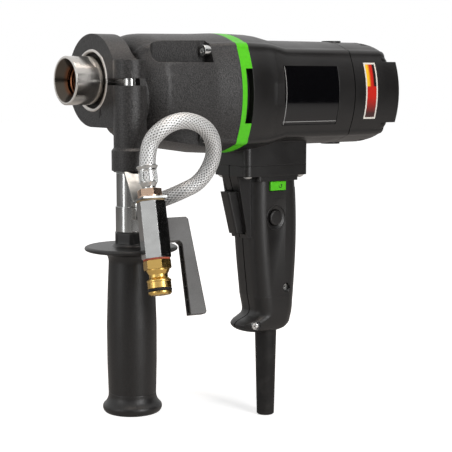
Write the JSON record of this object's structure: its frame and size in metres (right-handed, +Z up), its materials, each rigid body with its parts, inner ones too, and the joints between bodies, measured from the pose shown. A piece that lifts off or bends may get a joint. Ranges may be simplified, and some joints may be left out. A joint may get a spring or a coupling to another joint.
{
  "type": "core drill rig",
  "caption": "Hand-held wet core drill: hollow threaded spindle, two-stage gearbox, motor with pistol handle, and a side handle carrying a water valve, lever and braided hose.",
  "frame": {"origin": "centre of the spindle's front face, on the spindle axis", "axes": "-X out of the spindle, +X towards the motor's rear, +Z up, -Y the side with the water valve"},
  "size_m": [0.2771, 0.148, 0.2925],
  "materials": {
    "cast_black": "fine textured black powder coat",
    "bright_steel": "turned",
    "black_rubber": "matte",
    "bearing_steel": "ground",
    "cast_aluminium": "as cast",
    "screw_steel": "bright zinc plated",
    "green_paint": "satin green paint",
    "lamination_steel": "laminated",
    "copper_winding": "enamelled wire",
    "black_plastic": "fine texture",
    "gloss_black": "gloss",
    "sticker_red": "printed film",
    "brass": "polished",
    "carbon": "pressed carbon",
    "chrome": "polished",
    "braided_steel": "braided wire",
    "gear_steel": "hobbed",
    "copper_bars": "turned",
    "green_plastic": "satin",
    "zinc_sheet": "zinc plated sheet",
    "white_ptfe": "smooth",
    "grey_plastic": "fine texture",
    "fibre": "pressed fibre",
    "copper_nut": "nickel bronze"
  },
  "bodies": {
    "machine": {"gearbox_housing": "cast_black", "neck_collar": "bright_steel", "front_shaft_seal": "black_rubber", "water_seals": "black_rubber", "spindle_bearing_front": "bearing_steel", "spindle_bearing_rear": "bearing_steel", "bearing_plate": "cast_aluminium", "layshaft_bearings": "bearing_steel", "gearbox_screws": "screw_steel", "intermediate_flange": "green_paint", "armature_bearing_front": "bearing_steel", "armature_bearing_rear": "bearing_steel", "stator_core": "lamination_steel", "field_windings": "copper_winding", "motor_housing": "black_plastic", "label_plates": "gloss_black", "side_sticker": "sticker_red", "brush_holders": "brass", "carbon_brushes": "carbon", "brush_caps": "black_plastic", "rear_cap": "black_plastic", "rear_cap_screws": "screw_steel", "handle_shell_left": "black_plastic", "handle_shell_right": "black_plastic", "handle_shell_screws": "screw_steel", "handle_flange_screws": "screw_steel", "trigger_switch": "black_plastic", "cable_clamp": "black_plastic", "cable_sleeve": "black_rubber", "water_inlet": "chrome", "inlet_ferrule": "chrome", "water_hose": "braided_steel"},
    "spindle_group": {"spindle": "bright_steel", "spindle_gear": "gear_steel"},
    "layshaft_group": {"layshaft": "gear_steel", "layshaft_gear": "gear_steel"},
    "armature_group": {"armature_shaft": "gear_steel", "armature_core": "lamination_steel", "armature_windings": "copper_winding", "commutator": "copper_bars", "cooling_fan": "black_plastic"},
    "trigger_group": {"trigger": "black_plastic"},
    "lock_button_group": {"lock_button": "black_plastic"},
    "slider_group": {"direction_slider": "green_plastic"},
    "side_handle": {"clamp_ring": "cast_black", "clamp_bolt": "screw_steel", "spacer_tube": "chrome", "clamp_nut": "chrome", "valve_bracket": "zinc_sheet", "valve_body": "chrome", "valve_seats": "white_ptfe", "fibre_gaskets": "fibre", "bracket_nut": "copper_nut", "valve_ferrule": "chrome", "hose_connector": "brass", "connector_o_ring": "black_rubber"},
    "grip_group": {"grip": "black_rubber"},
    "lever_group": {"valve_stem": "chrome", "valve_lever": "grey_plastic"}
  },
  "joints": [
    {"name": "spindle_turn", "type": "hinge", "parent": "machine", "child": "spindle_group", "pos_m": [0, 0, 0], "axis": [1, 0, 0], "continuous": true},
    {"name": "layshaft_turn", "type": "hinge", "parent": "machine", "child": "layshaft_group", "pos_m": [0.06, 0, -0.0295], "axis": [1, 0, 0], "continuous": true},
    {"name": "armature_turn", "type": "hinge", "parent": "machine", "child": "armature_group", "pos_m": [0.1, 0, -0.0095], "axis": [1, 0, 0], "continuous": true},
    {"name": "trigger_pull", "type": "slide", "parent": "machine", "child": "trigger_group", "axis": [1, 0, 0], "range_m": [0, 0.006], "stiffness_N_per_m": 1200, "springref_m": -0.002},
    {"name": "lock_button_press", "type": "slide", "parent": "machine", "child": "lock_button_group", "axis": [0, 1, 0], "range_m": [0, 0.0025], "stiffness_N_per_m": 600, "springref_m": -0.001},
    {"name": "direction_slide", "type": "slide", "parent": "machine", "child": "slider_group", "axis": [0, 1, 0], "range_m": [-0.0025, 0.0025]},
    {"name": "side_handle_clamp", "type": "hinge", "parent": "machine", "child": "side_handle", "pos_m": [0.028, 0, 0], "axis": [1, 0, 0], "range_deg": [-45, 45], "deforming": ["water_hose"]},
    {"name": "grip_turn", "type": "hinge", "parent": "side_handle", "child": "grip_group", "pos_m": [0.028, -0.038, -0.11], "axis": [0, 0, 1], "range_deg": [0, 360]},
    {"name": "valve_lever_turn", "type": "hinge", "parent": "side_handle", "child": "lever_group", "pos_m": [0.02012, -0.07852, -0.09604], "axis": [-0.967, 0.2541, -0.0178], "range_deg": [0, 90]}
  ],
  "couplings": [
    {"joint": "layshaft_turn", "follows": "spindle_turn", "ratio": -3.5385},
    {"joint": "armature_turn", "follows": "spindle_turn", "ratio": 10.615}
  ]
}
